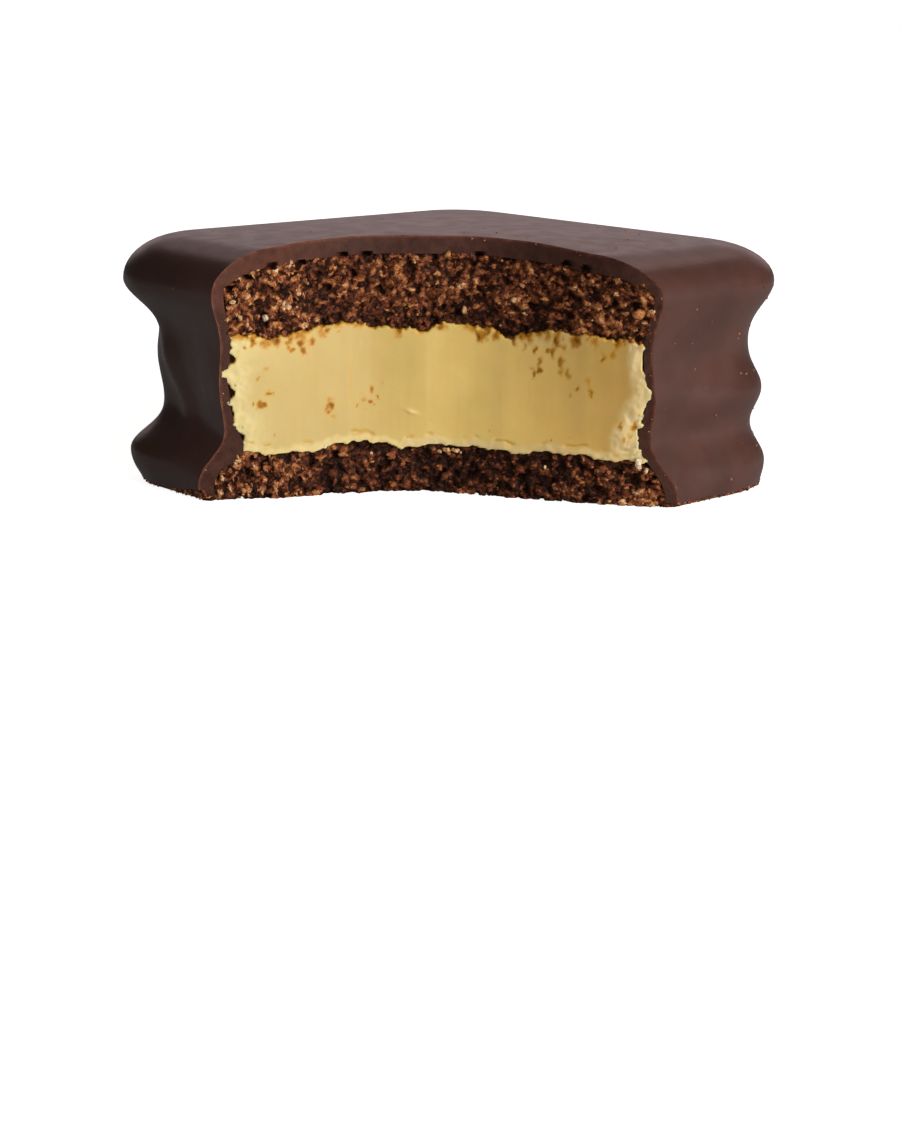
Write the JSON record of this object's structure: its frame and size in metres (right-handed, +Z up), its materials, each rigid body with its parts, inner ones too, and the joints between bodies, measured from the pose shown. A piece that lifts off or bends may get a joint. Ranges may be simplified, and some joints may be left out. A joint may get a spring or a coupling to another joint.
{
  "type": "alfajor cookie",
  "caption": "Square chocolate-coated alfajor with a bite out of its front corner, showing cocoa biscuit, yellow cream filling and cocoa biscuit.",
  "frame": {"origin": "middle of the underside of the part's bounding box, on the bare base biscuit", "axes": "+Z up out of the coated top; +X to the right as the bite is looked into, from corner to corner of the square; +Y away from the bite, towards the whole back corner"},
  "size_m": [0.0704, 0.0534, 0.0274],
  "materials": {
    "chocolate": "semi-gloss dark chocolate, matte where bitten",
    "upper_biscuit": "moist coarse cocoa crumb",
    "cream": "smooth satin cream, crumbly at its edges",
    "lower_biscuit": "moist coarse cocoa crumb"
  },
  "bodies": {
    "root": {"chocolate_coating": "chocolate", "top_biscuit": "upper_biscuit", "cream_filling": "cream", "bottom_biscuit": "lower_biscuit"}
  },
  "joints": []
}
